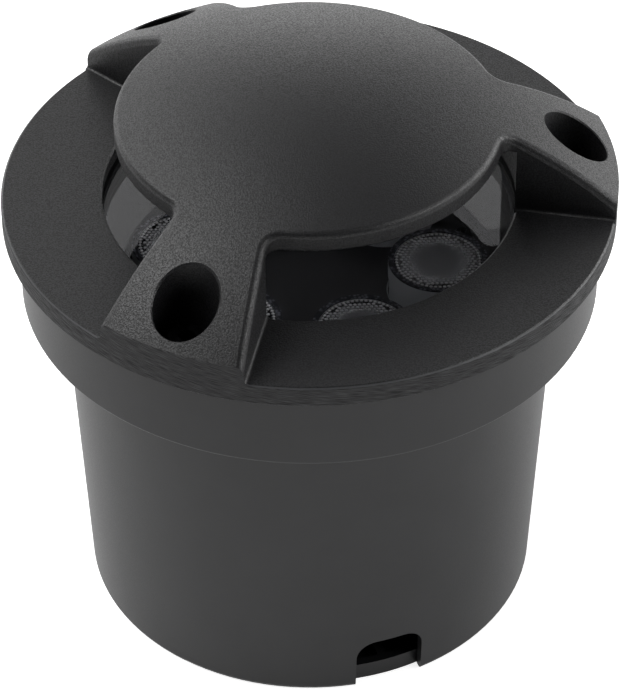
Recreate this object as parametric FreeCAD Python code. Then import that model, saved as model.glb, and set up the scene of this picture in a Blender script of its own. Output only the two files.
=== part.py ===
import FreeCAD, Part
import math
import os
from FreeCAD import Vector

# In-ground well light: a cast cover with a domed cap on three legs, over a sealed
# lamp with a ring of six LEDs, hung in a moulded plastic sleeve that is buried.
# Millimetres. Origin at the centre of the sleeve's foot, +Z up, foot at z = 0.
# Leg 1 points along +X and the cable notch is at notch_azimuth.

# ---------------------------------------------------------------- driving sizes
# Sleeve (moulded plastic)
sleeve_h = 117.6            # foot to top rim
sleeve_wall = 2.8
collar_h = 22.5
collar_set_in = 4.1         # collar's wall inside the flange's edge
collar_step = 10.5          # collar's radius down to the tube's, just under it
tube_draft = 4.6            # what the tube's radius loses down to the foot
collar_round = 0.8
foot_round = 1.6
insert_boss_r = 6.2
insert_r = 4.25             # threaded insert, outside
insert_len = 10.0
insert_groove_w = 1.2
insert_groove_deep = 0.5
insert_gap = 0.3            # air over the inserts, and under them in their bores
notch_azimuth = -73.8       # degrees
notch_w = 18.7
notch_h = 16.3
notch_corner_r = 5.5

# Base plate (closes the sleeve's foot)
base_rim_h = 5.0
base_rim_w = 2.4
base_web_t = 2.4
base_screw_inset = 6.5      # sleeve's inner wall at the foot to the base plate's screws
base_boss_r = 3.8
base_hole_r = 14.0          # hole in the middle, for water and for a cable straight down
base_hub_w = 3.0            # wall round it
base_clear = 0.2            # radial gap to the sleeve
base_boss_h = 10.0
base_screw_len = 9.0
base_head_sink = 0.4        # screw heads below the foot's plane
drain_w = 4.0               # width of a drain slot
drain_round = 1.8
drain_count = 6
drain_hub_gap = 5.0         # hub to the slots' inner ends
drain_screw_gap = 9.5       # slots' outer ends to the screws' axes, along the radius

# Cover (die-cast)
flange_r = 80.0
flange_t = 6.2
flange_bevel = 0.6
opening_inset = 3.2         # glass edge to the cover's opening
lip_t = 3.3                 # ring lip over the glass gasket
dome_inset = 3.8            # opening's edge to the dome's rim, seen from above
dome_gap = 18.4             # flange top to the underside of the dome's rim
dome_wall = 5.0
rim_w = 4.5                 # thickness of the dome's rim and of the legs' feet
crown_r = 124.0             # one sphere runs over the dome and the legs
leg_edge_h = 4.9            # height of a leg over the flange at its outer end
leg_half_angle = 14.4       # degrees
leg_blend_r = 3.6           # hollow corner where a leg leaves the dome
leg_fillet = 0.9            # where a leg's side meets the flange
top_round = 2.0
rim_round = 0.6             # dome's lower edge
hole_bevel = 0.4
cover_skin = 1.2            # metal left over the flange screws' tips
leg_count = 3

# Fixing screws: cover to sleeve
fixing_inset = 3.3          # housing's edge to the screws' axes
counterbore_r = 8.35
counterbore_floor = 3.2     # metal left under the washer
screw_r = 2.95
screw_len = 20.0
screw_head_r = 5.0
screw_head_h = 4.0
screw_head_bevel = 0.4
screw_key_af = 4.0          # hexagon socket across flats
screw_key_depth = 2.6
washer_r = 7.0
washer_t = 1.0
screw_clear = 0.35          # radial clearance of the fixing screws

# Glass and its gasket
glass_inset = 8.0           # flange screws' axes to the glass edge
glass_t = 6.0
glass_bevel = 0.5
gasket_lip = 1.2
gasket_wall = 1.5
gasket_set_back = 0.3       # gasket's lips behind the cover's opening

# Housing (die-cast cup)
head_clear = 0.7            # housing's flange to the sleeve's wall
head_t = 9.6
chamber_inset = 4.5         # glass edge to the bore of the light chamber
chamber_wall = 3.2
web_t = 6.0
driver_inset = 12.5         # light chamber's bore to the driver chamber's
driver_wall = 3.5
driver_room = 26.7          # height of the driver chamber
fin_count = 24
fin_t = 2.2
fin_reach = 0.8             # fins outside the light chamber's wall
seat_clear = 0.2            # radial clearance round the gasket
flange_screw_inset = 7.4    # housing's edge to the screws' axes, cover to housing
flange_screw_count = 6
m4_r = 1.95
m4_head_r = 3.5
m4_head_h = 3.2
m4_len = 14.0

# Light engine
lens_count = 6
lens_ring_share = 34.0 / 52.5   # ring of lenses, of the light chamber's radius
lens_phase = -10.5          # degrees, first lens from +X
lens_top_drop = 24.5        # flange top down to the lens cups' rims
cup_r = 13.15
cup_h = 15.5
cup_step_h = 5.0            # wider band at the cup's top
cup_step_in = 0.3
lens_r = 11.6
lens_flange_t = 2.0
lens_recess = 0.5           # lens top below the cup's rim
lens_flange_w = 0.9
lens_foot_r = 5.3
lens_foot_z = 1.6           # lens foot over the board
lens_pocket_r = 2.6         # pocket over the LED, at its mouth and its roof
lens_pocket_roof_r = 2.2
lens_pocket_h = 3.4
lens_pocket_cone = 0.6
cup_mouth_r = 5.8
cup_floor_t = 1.2
cup_shelf_w = 0.7
bezel_drop = 10.0           # cup rims down to the bezel plate
bezel_t = 1.5
bezel_clear = 0.35          # radial clearance round a cup and round the plate
bezel_post_r = 3.4
bezel_post_inset = 7.5      # light chamber's bore to the posts' axes
board_clear = 2.0           # light chamber's bore to the board
board_t = 1.6
pad_t = 0.5
pad_set_in = 1.0            # pad's edge inside the board's
led_w = 3.45
led_base_h = 0.8
led_dome_r = 1.3
board_screw_gap = 3.1       # lens cup to a board screw's head
m3_r = 1.45
m3_head_r = 2.75
m3_head_h = 2.0
m3_len = 6.0
head_crown = 0.72           # pan head: crown's radius and side's height, of the head's own
head_side = 0.45
key_size = 1.2              # pan head: hexagon across flats, of the shank's radius
tip_taper = 0.5             # screw tip: length and drop in radius, of the shank's radius
tip_end = 0.6
blind_end = 1.5             # metal left at the end of a blind hole

# Driver
driver_board_clear = 3.5    # driver chamber's bore to the board
driver_board_t = 1.6
standoff_len = 14.0
standoff_af = 4.7
standoff_stud = 2.7
standoff_inset = 4.5        # driver board's edge to the standoffs' axes
capacitor_r = 4.0
capacitor_h = 11.0
capacitor_round = 0.6
capacitor_at = (-17.0, 12.0)
inductor_r = 7.0
inductor_h = 9.0
inductor_flange_t = 1.6
inductor_waist = 1.0        # how far the winding lies inside the flanges
inductor_at = (17.0, 13.0)
chip_size = (9.0, 7.0, 2.4)
chip_at = (10.0, -17.0)
terminal_size = (12.0, 9.0, 9.5)
terminal_inset = 14.5       # driver board's edge to the block's middle
terminal_hole_r = 1.7
terminal_hole_gap = 2.8     # half the distance between its two holes
terminal_hole_depth = 4.5
lead_r = 0.8
lead_gap = 1.5              # half the distance between the two leads
lead_bend_r = 2.2
lead_run = 9.0              # run on the LED board to the solder pad
grommet_r = 4.0
grommet_wall = 1.3
grommet_lip = 1.2

# Rear cap, gland and vent
cap_reach = 3.5             # rear cap outside the driver chamber's wall
cap_t = 4.0
cap_bevel = 0.8
cap_gasket_set_in = 0.4
cap_gasket_t = 1.0
cap_screw_inset = 0.3       # driver chamber's outside to the cap screws' axes
cap_screw_count = 4
cap_boss_r = 3.6
cap_boss_h = 12.0
gland_r = 7.9               # M16 thread
gland_bore_r = 4.5
gland_hex_af = 22.0
gland_flange_t = 5.0
gland_stub_len = 11.0
gland_nose_r = 8.6
gland_nose_len = 10.0
gland_nose_bore = 6.3
gland_washer_t = 1.2
gland_seal_seat = 1.0       # wall between the seal and the gland's hexagon
locknut_t = 5.0
nut_len = 15.0
nut_end_t = 2.4
nut_end_r = 7.9             # flat end of the nut
nut_shoulder_r = 12.7       # rounds the hexagon's corners
nut_shoulder_h = 5.2
nut_bore_r = 4.9
nut_gap = 0.5               # between the nut and the gland's flange
seal_r = 3.5                # bore of the gland's rubber seal
seal_len = 9.0
vent_pitch = 26.0
vent_r = 5.0
vent_head_r = 7.0
vent_head_h = 5.0
vent_stub = 6.0
vent_round = 1.2
vent_hole_r = 0.7
vent_hole_count = 6

fit_gap = 0.05              # radial gap of a piece held in its bore
turn_gap = 0.1              # radial gap of a thread that turns
through = 1.0               # how far a cutter runs past a face
near = 0.01                 # heights and radii this close count as the same

# ---------------------------------------------------------------- worked out
flange_top = sleeve_h + flange_t
collar_r = flange_r - collar_set_in
sleeve_in_r = collar_r - sleeve_wall
tube_top_r = collar_r - collar_step
tube_foot_r = tube_top_r - tube_draft
tube_in_top_r = tube_top_r - sleeve_wall
tube_in_foot_r = tube_foot_r - sleeve_wall
base_screw_r = tube_in_foot_r - base_screw_inset
drain_in_r = base_hole_r + base_hub_w + drain_hub_gap
drain_len = base_screw_r - drain_screw_gap - drain_in_r
drain_mid_r = drain_in_r + drain_len / 2
head_r = sleeve_in_r - head_clear
fixing_r = head_r - fixing_inset
flange_screw_r = head_r - flange_screw_inset
glass_r = flange_screw_r - glass_inset
opening_r = glass_r - opening_inset
dome_r = opening_r - dome_inset
chamber_r = glass_r - chamber_inset
chamber_out_r = chamber_r + chamber_wall
fin_r = chamber_out_r + fin_reach
driver_bore_r = chamber_r - driver_inset
driver_out_r = driver_bore_r + driver_wall
board_r = chamber_r - board_clear
lens_ring_r = chamber_r * lens_ring_share
bezel_post_pitch = chamber_r - bezel_post_inset
board_screw_pitch = lens_ring_r - cup_r - board_screw_gap - m3_head_r
driver_board_r = driver_bore_r - driver_board_clear
standoff_pitch = driver_board_r - standoff_inset
terminal_at = (0.0, terminal_inset - driver_board_r)
cap_r = driver_out_r + cap_reach
cap_screw_pitch = driver_out_r - cap_screw_inset
crown_z = flange_top + leg_edge_h - math.sqrt(crown_r ** 2 - flange_r ** 2)
lip_z = flange_top - lip_t
dome_foot_z = flange_top + dome_gap
blend_angle = math.degrees(math.asin(leg_blend_r / (dome_r + leg_blend_r)))
counterbore_z = sleeve_h + counterbore_floor
ledge_z = sleeve_h - collar_h + sleeve_wall
gasket_r = glass_r + gasket_wall
seat_r = gasket_r + seat_clear
glass_top = lip_z - gasket_lip
glass_z = glass_top - glass_t
seat_z = glass_z - gasket_lip
head_z = sleeve_h - head_t
insert_top = head_z - insert_gap
lens_top = flange_top - lens_top_drop
board_top = lens_top - cup_h
board_z = board_top - board_t
web_top = board_z - pad_t
web_z = web_top - web_t
bezel_top = lens_top - bezel_drop
bezel_z = bezel_top - bezel_t
housing_foot_z = web_z - driver_room
cap_top = housing_foot_z - cap_gasket_t
cap_z = cap_top - cap_t
driver_board_top = web_z - standoff_len
driver_board_z = driver_board_top - driver_board_t
leg_angles = [360.0 * k / leg_count for k in range(leg_count)]
lens_angles = [lens_phase + 360.0 * k / lens_count for k in range(lens_count)]
post_angles = [lens_angles[k] + 180.0 / lens_count for k in range(0, lens_count, 2)]
board_screw_angles = [a + 180.0 / lens_count for a in post_angles]
flange_screw_angles = [180.0 / flange_screw_count + 360.0 * k / flange_screw_count
                       for k in range(flange_screw_count)]
base_screw_angles = [notch_azimuth + 60.0 + 120.0 * k for k in range(3)]
cap_screw_angles = [45.0 + 360.0 * k / cap_screw_count for k in range(cap_screw_count)]
standoff_angles = [90.0, 210.0, 330.0]


# ---------------------------------------------------------------- small helpers
def polar(radius, degrees, z=0.0):
    turn = math.radians(degrees)
    return Vector(radius * math.cos(turn), radius * math.sin(turn), z)


def cylinder(radius, z0, z1, at=Vector(0, 0, 0)):
    return Part.makeCylinder(radius, z1 - z0, Vector(at.x, at.y, z0))


def ring(outer, inner, z0, z1):
    return cylinder(outer, z0, z1).cut(cylinder(inner, z0 - through, z1 + through))


def block(width, depth, height, centre):
    corner = Vector(centre.x - width / 2, centre.y - depth / 2, centre.z)
    return Part.makeBox(width, depth, height, corner)


def hexagon(across_flats, z0, z1, at=Vector(0, 0, 0)):
    corner_r = across_flats / math.sqrt(3)
    corners = [at + polar(corner_r, 60.0 * k, z0) for k in range(7)]
    return Part.Face(Part.makePolygon(corners)).extrude(Vector(0, 0, z1 - z0))


def revolve(profile):
    """Solid of revolution about Z from a closed list of (radius, height) corners."""
    points = [Vector(r, 0, z) for r, z in profile]
    face = Part.Face(Part.makePolygon(points + points[:1]))
    return face.revolve(Vector(0, 0, 0), Vector(0, 0, 1), 360)


def sector(radius, start, end, z0, z1):
    """Pie slice from the axis out to radius, between two azimuths."""
    slice_ = Part.makeCylinder(radius, z1 - z0, Vector(0, 0, z0), Vector(0, 0, 1), end - start)
    return turned(slice_, start)


def turned(shape, degrees):
    copy = shape.copy()
    copy.rotate(Vector(0, 0, 0), Vector(0, 0, 1), degrees)
    return copy


def moved(shape, x, y, z=0.0):
    copy = shape.copy()
    copy.translate(Vector(x, y, z))
    return copy


def edges_where(shape, test):
    """Edges whose middle point passes the test."""
    picked = []
    for edge in shape.Edges:
        middle = edge.valueAt((edge.FirstParameter + edge.LastParameter) / 2)
        if test(middle):
            picked.append(edge)
    return picked


def radius_of(point):
    return math.hypot(point.x, point.y)


def save(name, shape):
    if isinstance(shape, list):
        shape = Part.makeCompound(shape)
    shape.exportStep("parts/" + name + ".step")
    print(f"{name:20s} solids {len(shape.Solids)} volume {shape.Volume:10.1f} valid {shape.isValid()}")


# ---------------------------------------------------------------- fasteners
def pan_screw(shank_r, length, head_r, head_h, at, z, up=True):
    """Screw whose head seats at height z; its shank runs up, or down if up is False."""
    profile = [(0, -head_h), (head_r * head_crown, -head_h), (head_r, -head_h * head_side), (head_r, 0),
               (shank_r, 0), (shank_r, length - shank_r * tip_taper),
               (shank_r * tip_end, length), (0, length)]
    key = hexagon(shank_r * key_size, -head_h - through, -head_h * head_side)
    screw = revolve(profile).cut(key)
    if not up:
        screw = screw.mirror(Vector(0, 0, 0), Vector(0, 0, 1))
    return moved(screw, at.x, at.y, z)


def fixing_screw(at):
    """Low-head socket screw that holds the cover to the sleeve."""
    seat = counterbore_z + washer_t
    head = cylinder(screw_head_r, seat, seat + screw_head_h, at)
    rim = edges_where(head, lambda p: p.z > seat + screw_head_h - near)
    head = head.makeChamfer(screw_head_bevel, rim)
    key = hexagon(screw_key_af, seat + screw_head_h - screw_key_depth, seat + screw_head_h + through, at)
    shank = cylinder(screw_r, seat - screw_len, seat, at)
    return head.fuse(shank).removeSplitter().cut(key)


# ---------------------------------------------------------------- sleeve
def make_sleeve():
    body = revolve([(tube_in_foot_r, 0), (tube_foot_r, 0), (tube_top_r, sleeve_h - collar_h),
                    (collar_r, sleeve_h - collar_h), (collar_r, sleeve_h), (sleeve_in_r, sleeve_h),
                    (sleeve_in_r, ledge_z), (tube_in_top_r, ledge_z)])
    foot = edges_where(body, lambda p: abs(p.z) < near and radius_of(p) > tube_foot_r - near)
    body = body.makeFillet(foot_round, foot)
    lower = edges_where(body, lambda p: abs(p.z - sleeve_h + collar_h) < near
                        and radius_of(p) > collar_r - near)
    body = body.makeFillet(collar_round, lower)
    for angle in leg_angles:
        at = polar(fixing_r, angle)
        boss = cylinder(insert_boss_r, ledge_z - sleeve_wall / 2, insert_top, at)
        bore = cylinder(insert_r + fit_gap, insert_top - insert_len, insert_top + through, at)
        body = body.fuse(boss.common(cylinder(sleeve_in_r + sleeve_wall / 2, 0, sleeve_h))).cut(bore)
    for angle in base_screw_angles:
        at = polar(base_screw_r, angle)
        wall = cylinder(tube_in_foot_r + sleeve_wall / 2, base_rim_h, base_rim_h + base_boss_h)
        bridge = block(tube_in_foot_r + sleeve_wall / 2 - base_screw_r, 2 * base_boss_r, base_boss_h,
                       Vector((tube_in_foot_r + sleeve_wall / 2 + base_screw_r) / 2, 0, base_rim_h))
        boss = cylinder(base_boss_r, base_rim_h, base_rim_h + base_boss_h, at)
        boss = boss.fuse(turned(bridge, angle)).common(wall)
        bore = cylinder(m3_r + fit_gap, base_rim_h - through, base_rim_h + base_boss_h - sleeve_wall, at)
        body = body.fuse(boss).cut(bore)
    return body.cut(notch_cutter()).removeSplitter()


def notch_cutter():
    """Round-shouldered arch cut through the sleeve's wall, up from its foot."""
    half = notch_w / 2
    arch = block(tube_foot_r, notch_w, notch_h + through, Vector(tube_foot_r, 0, -through))
    top = edges_where(arch, lambda p: abs(p.z - notch_h) < near and abs(abs(p.y) - half) < near)
    return turned(arch.makeFillet(notch_corner_r, top), notch_azimuth)


def make_base_plate():
    rim_r = tube_in_foot_r - base_clear
    plate = cylinder(rim_r, 0, base_web_t)
    plate = plate.fuse(ring(rim_r, rim_r - base_rim_w, 0, base_rim_h))
    rib = block(2 * rim_r - base_rim_w, base_rim_w, base_rim_h, Vector(0, 0, 0))
    for angle in base_screw_angles:
        plate = plate.fuse(turned(rib, angle))
    plate = plate.fuse(cylinder(base_hole_r + base_hub_w, 0, base_rim_h))
    plate = plate.cut(cylinder(base_hole_r, -through, base_rim_h + through))
    slot = block(drain_len, drain_w, base_rim_h + 2 * through, Vector(drain_mid_r, 0, -through))
    corner = edges_where(slot, lambda p: abs(abs(p.x - drain_mid_r) - drain_len / 2) < near
                         and abs(abs(p.y) - drain_w / 2) < near)
    slot = slot.makeFillet(drain_round, corner)
    for k in range(drain_count):
        plate = plate.cut(turned(slot, base_screw_angles[0] + 180.0 / drain_count + 360.0 * k / drain_count))
    for angle in base_screw_angles:
        at = polar(base_screw_r, angle)
        plate = plate.fuse(cylinder(base_boss_r, 0, base_rim_h, at))
        plate = plate.cut(cylinder(m3_r + screw_clear, -through, base_rim_h + through, at))
        plate = plate.cut(cylinder(m3_head_r + screw_clear, -through, m3_head_h + base_head_sink, at))
    return plate.removeSplitter()


def make_insert(at):
    """Brass insert with two grooves that the plastic grips."""
    body = cylinder(insert_r, insert_top - insert_len + insert_gap, insert_top, at)
    groove = ring(insert_r + through, insert_r - insert_groove_deep, 0, insert_groove_w)
    for level in (insert_len / 3, 2 * insert_len / 3):
        body = body.cut(moved(groove, at.x, at.y, insert_top - level))
    return body.cut(cylinder(screw_r + turn_gap, 0, sleeve_h, at))


# ---------------------------------------------------------------- cover
def star_outline():
    """Plan of the dome and its legs, with a hollow corner each side of each leg."""
    edges = []
    step = 360.0 / leg_count
    leg_side = (dome_r + leg_blend_r) * math.cos(math.radians(blend_angle))
    for angle in leg_angles:
        a0 = angle - leg_half_angle
        a1 = angle + leg_half_angle
        a2 = a1 + blend_angle
        a3 = angle + step - leg_half_angle - blend_angle
        a4 = angle + step - leg_half_angle
        edges.append(Part.Arc(polar(flange_r, a0), polar(flange_r, angle), polar(flange_r, a1)).toShape())
        edges.append(Part.LineSegment(polar(flange_r, a1), polar(leg_side, a1)).toShape())
        edges.append(hollow_corner(polar(leg_side, a1), polar(dome_r, a2), a2))
        middle = angle + step / 2
        edges.append(Part.Arc(polar(dome_r, a2), polar(dome_r, middle), polar(dome_r, a3)).toShape())
        edges.append(hollow_corner(polar(dome_r, a3), polar(leg_side, a4), a3))
        edges.append(Part.LineSegment(polar(leg_side, a4), polar(flange_r, a4)).toShape())
    return Part.Wire(edges)


def hollow_corner(start, end, centre_angle):
    centre = polar(dome_r + leg_blend_r, centre_angle)
    toward = (start - centre) + (end - centre)
    toward.normalize()
    return Part.Arc(start, centre + toward * leg_blend_r, end).toShape()


def side_fillet(side):
    """Casting fillet along the foot of a leg's side, for a side that runs out along +X."""
    x = opening_r - through
    half_way = leg_fillet * (1 - math.sqrt(0.5))
    foot = Vector(x, 0, flange_top - flange_bevel)
    toe = Vector(x, side * leg_fillet, flange_top - flange_bevel)
    start = Vector(x, side * leg_fillet, flange_top)
    end = Vector(x, 0, flange_top + leg_fillet)
    middle = Vector(x, side * half_way, flange_top + half_way)
    outline = Part.Wire([Part.LineSegment(foot, toe).toShape(), Part.LineSegment(toe, start).toShape(),
                         Part.Arc(start, middle, end).toShape(), Part.LineSegment(end, foot).toShape()])
    strip = Part.Face(outline).extrude(Vector(flange_r, 0, 0))
    return strip.common(ring(flange_r, opening_r, sleeve_h, flange_top + leg_edge_h))


def leg_gap(z0, z1):
    """Open space between leg 1 and the next leg, out past the dome's hollow corners."""
    return sector(dome_r + leg_blend_r, leg_half_angle, 360.0 / leg_count - leg_half_angle, z0, z1)


def rim_edging():
    """What rounding the dome's lower edge takes off, from leg 1 to the next leg."""
    reach = dome_r + leg_blend_r
    disc = moved(Part.Face(star_outline()).extrude(Vector(0, 0, 2 * rim_round)), 0, 0, dome_foot_z)
    disc = disc.common(cylinder(reach, dome_foot_z, dome_foot_z + 2 * rim_round))
    lower = edges_where(disc, lambda p: abs(p.z - dome_foot_z) < near and radius_of(p) < reach - near)
    edged = disc.makeFillet(rim_round, lower)
    return leg_gap(dome_foot_z, dome_foot_z + rim_round).common(disc).cut(edged)


def make_cover():
    crown = Part.makeSphere(crown_r, Vector(0, 0, crown_z))
    height = crown_z + crown_r + through - lip_z
    prism = Part.Face(star_outline()).extrude(Vector(0, 0, height))
    head = moved(prism, 0, 0, lip_z).common(crown)
    rim = edges_where(head, lambda p: abs((p - Vector(0, 0, crown_z)).Length - crown_r) < near
                      and radius_of(p) < flange_r - near)
    head = head.makeFillet(top_round, rim)
    hollow = Part.makeSphere(crown_r - dome_wall, Vector(0, 0, crown_z))
    head = head.cut(cylinder(dome_r - rim_w, lip_z - through, crown_z + crown_r).common(hollow))
    for angle in leg_angles:
        head = head.cut(turned(leg_gap(lip_z - through, dome_foot_z), angle))
        head = head.cut(turned(rim_edging(), angle))
    head = head.cut(cylinder(opening_r, lip_z - through, dome_foot_z))
    flange = revolve([(opening_r, sleeve_h), (flange_r - flange_bevel, sleeve_h),
                      (flange_r, sleeve_h + flange_bevel), (flange_r, flange_top - flange_bevel),
                      (flange_r - flange_bevel, flange_top), (opening_r + flange_bevel, flange_top),
                      (opening_r, flange_top - flange_bevel)])
    cover = flange.cut(cylinder(seat_r, sleeve_h - through, lip_z)).fuse(head)
    for angle in leg_angles:
        for side in (-1, 1):
            cover = cover.fuse(turned(side_fillet(side), angle + side * leg_half_angle))
    for angle in leg_angles:
        at = polar(fixing_r, angle)
        cover = cover.cut(cylinder(counterbore_r, counterbore_z, crown_z + crown_r, at))
        cover = cover.cut(cylinder(screw_r + screw_clear, sleeve_h - through, flange_top, at))
    for angle in flange_screw_angles:
        at = polar(flange_screw_r, angle)
        cover = cover.cut(cylinder(m4_r + fit_gap, sleeve_h - through, flange_top - cover_skin, at))
    cover = cover.removeSplitter()
    mouth = edges_where(cover, lambda p: p.z > flange_top + through and any(
        abs((p - polar(fixing_r, a, p.z)).Length - counterbore_r) < near for a in leg_angles)
        and abs((p - Vector(0, 0, crown_z)).Length - crown_r) < near)
    return cover.makeChamfer(hole_bevel, mouth)


# ---------------------------------------------------------------- glass
def make_glass():
    glass = cylinder(glass_r, glass_z, glass_top)
    rims = edges_where(glass, lambda p: abs(p.z - glass_z) < near or abs(p.z - glass_top) < near)
    return glass.makeChamfer(glass_bevel, rims)


def make_gasket():
    """Rubber channel that wraps the edge of the glass."""
    inner = opening_r + gasket_set_back
    return revolve([(inner, seat_z), (gasket_r, seat_z), (gasket_r, lip_z), (inner, lip_z),
                    (inner, glass_top), (glass_r, glass_top), (glass_r, glass_z), (inner, glass_z)])


# ---------------------------------------------------------------- housing
def make_housing():
    body = revolve([(driver_bore_r, housing_foot_z), (driver_out_r, housing_foot_z),
                    (driver_out_r, web_z), (chamber_out_r, web_z), (chamber_out_r, head_z),
                    (head_r, head_z), (head_r, sleeve_h), (seat_r, sleeve_h), (seat_r, seat_z),
                    (chamber_r, seat_z), (chamber_r, web_top), (grommet_r, web_top),
                    (grommet_r, web_z), (driver_bore_r, web_z)])
    fin = block(fin_r - driver_bore_r - driver_wall / 2, fin_t, web_z + web_t / 2 - housing_foot_z,
                Vector((fin_r + driver_bore_r + driver_wall / 2) / 2, 0, housing_foot_z))
    for k in range(fin_count):
        body = body.fuse(turned(fin, 360.0 / fin_count * (k + 0.5)))
    for angle in cap_screw_angles:
        at = polar(cap_screw_pitch, angle)
        body = body.fuse(cylinder(cap_boss_r, housing_foot_z, housing_foot_z + cap_boss_h, at))
        body = body.cut(cylinder(m3_r + fit_gap, housing_foot_z - through,
                                 housing_foot_z + cap_boss_h - blind_end, at))
    for angle in post_angles:
        at = polar(bezel_post_pitch, angle)
        body = body.fuse(cylinder(bezel_post_r, web_top - web_t / 2, bezel_z, at))
        body = body.cut(cylinder(m3_r + fit_gap, bezel_z - m3_len, bezel_z + through, at))
    for angle in board_screw_angles:
        at = polar(board_screw_pitch, angle)
        body = body.cut(cylinder(m3_r + fit_gap, web_top - m3_len + board_t, web_top + through, at))
    for angle in standoff_angles:
        at = polar(standoff_pitch, angle)
        body = body.cut(cylinder(m3_r + fit_gap, web_z - through, web_z + web_t / 2, at))
    for angle in leg_angles:
        body = body.cut(turned(fixing_slot(), angle))
    for angle in flange_screw_angles:
        body = body.cut(cylinder(m4_r + screw_clear, head_z - through, sleeve_h + through,
                                 polar(flange_screw_r, angle)))
    return body.removeSplitter()


def fixing_slot():
    """Slot in the housing's flange, open at its edge, that a fixing screw passes."""
    half = screw_r + screw_clear
    z0 = head_z - through
    height = head_t + 2 * through
    mouth = block(fixing_r / 2, 2 * half, height, Vector(fixing_r * 1.25, 0, z0))
    return cylinder(half, z0, z0 + height, Vector(fixing_r, 0, 0)).fuse(mouth)


# ---------------------------------------------------------------- light engine
def make_cup():
    """Holder of one collimator, standing on the board at the origin."""
    body_r = cup_r - cup_step_in
    bore = lens_r + fit_gap
    shelf = cup_h - lens_recess - lens_flange_t
    return revolve([(cup_mouth_r, 0), (body_r, 0), (body_r, cup_h - cup_step_h), (cup_r, cup_h - cup_step_h),
                    (cup_r, cup_h), (bore, cup_h), (bore, shelf), (bore - cup_shelf_w, shelf),
                    (cup_mouth_r, cup_floor_t)])


def make_lens():
    """Moulded collimator: a flanged cone with a pocket for the LED's dome."""
    top = cup_h - lens_recess
    shelf = top - lens_flange_t
    roof = lens_foot_z + lens_pocket_h
    shoulder = lens_r - lens_flange_w
    return revolve([(lens_pocket_r, lens_foot_z), (lens_foot_r, lens_foot_z), (shoulder, shelf),
                    (lens_r, shelf), (lens_r, top), (0, top), (0, roof + lens_pocket_cone),
                    (lens_pocket_roof_r, roof)])


def make_led():
    base = block(led_w, led_w, led_base_h, Vector(0, 0, 0))
    dome = Part.makeSphere(led_dome_r, Vector(0, 0, led_base_h))
    dome = dome.common(cylinder(led_dome_r + through, led_base_h, led_base_h + led_dome_r))
    return base.fuse(dome)


def on_ring(shape, angle):
    """Place a piece made at the origin on the board, at one lens."""
    at = polar(lens_ring_r, angle)
    return moved(shape, at.x, at.y, board_top)


def make_led_board():
    board = ring(board_r, grommet_r, board_z, board_top)
    for angle in post_angles:
        board = board.cut(cylinder(bezel_post_r + screw_clear, board_z - through, board_top + through,
                                   polar(bezel_post_pitch, angle)))
    for angle in board_screw_angles:
        board = board.cut(cylinder(m3_r + fit_gap, board_z - through, board_top + through,
                                   polar(board_screw_pitch, angle)))
    return board


def make_pad():
    pad = ring(board_r - pad_set_in, grommet_r, web_top, board_z)
    for angle in post_angles:
        pad = pad.cut(cylinder(bezel_post_r + screw_clear, web_top - through, board_z + through,
                               polar(bezel_post_pitch, angle)))
    for angle in board_screw_angles:
        pad = pad.cut(cylinder(m3_r + fit_gap, web_top - through, board_z + through,
                               polar(board_screw_pitch, angle)))
    return pad


def make_bezel():
    plate = cylinder(chamber_r - bezel_clear, bezel_z, bezel_top)
    for angle in lens_angles:
        plate = plate.cut(cylinder(cup_r - cup_step_in + bezel_clear, bezel_z - through,
                                   bezel_top + through, polar(lens_ring_r, angle)))
    for angle in post_angles:
        plate = plate.cut(cylinder(m3_r + fit_gap, bezel_z - through, bezel_top + through,
                                   polar(bezel_post_pitch, angle)))
    return plate


# ---------------------------------------------------------------- driver
def make_lead(side):
    """Insulated lead from the driver up through the web and over to its solder pad."""
    x = side * lead_gap
    top = board_top + lead_r + fit_gap
    bend = lead_bend_r * (1 - math.sqrt(0.5))
    start = Vector(x, 0, driver_board_top)
    before = Vector(x, 0, top - lead_bend_r)
    middle = Vector(x + side * bend, 0, top - bend)
    after = Vector(x + side * lead_bend_r, 0, top)
    end = Vector(x + side * lead_run, 0, top)
    path = Part.Wire([Part.LineSegment(start, before).toShape(),
                      Part.Arc(before, middle, after).toShape(),
                      Part.LineSegment(after, end).toShape()])
    section = Part.Wire([Part.makeCircle(lead_r, start, Vector(0, 0, 1))])
    return path.makePipeShell([section], True, False)


def make_grommet():
    """Rubber bush in the web, with a lip under it."""
    bore = grommet_r - grommet_wall
    return revolve([(bore, web_z - grommet_lip), (grommet_r + grommet_lip, web_z - grommet_lip),
                    (grommet_r + grommet_lip, web_z), (grommet_r - fit_gap, web_z),
                    (grommet_r - fit_gap, web_top), (bore, web_top)])


def make_driver_board():
    board = cylinder(driver_board_r, driver_board_z, driver_board_top)
    for angle in standoff_angles:
        board = board.cut(cylinder(m3_r + fit_gap, driver_board_z - through, driver_board_top + through,
                                   polar(standoff_pitch, angle)))
    return board


def make_standoff(angle):
    at = polar(standoff_pitch, angle)
    post = hexagon(standoff_af, driver_board_top, web_z, at)
    stud = cylinder(m3_r, web_z, web_z + standoff_stud, at)
    return post.fuse(stud).cut(cylinder(m3_r + fit_gap, driver_board_top - through,
                                        driver_board_top + standoff_len / 2, at))


def make_capacitor():
    top = driver_board_top + capacitor_h
    can = cylinder(capacitor_r, driver_board_top, top, Vector(*capacitor_at, 0))
    return can.makeFillet(capacitor_round, edges_where(can, lambda p: abs(p.z - top) < near))


def make_inductor():
    """Drum inductor: two flanges and the winding between them."""
    waist = inductor_r - inductor_waist
    upper = inductor_h - inductor_flange_t
    drum = revolve([(0, 0), (inductor_r, 0), (inductor_r, inductor_flange_t), (waist, inductor_flange_t),
                    (waist, upper), (inductor_r, upper), (inductor_r, inductor_h), (0, inductor_h)])
    return moved(drum, *inductor_at, driver_board_top)


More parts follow.
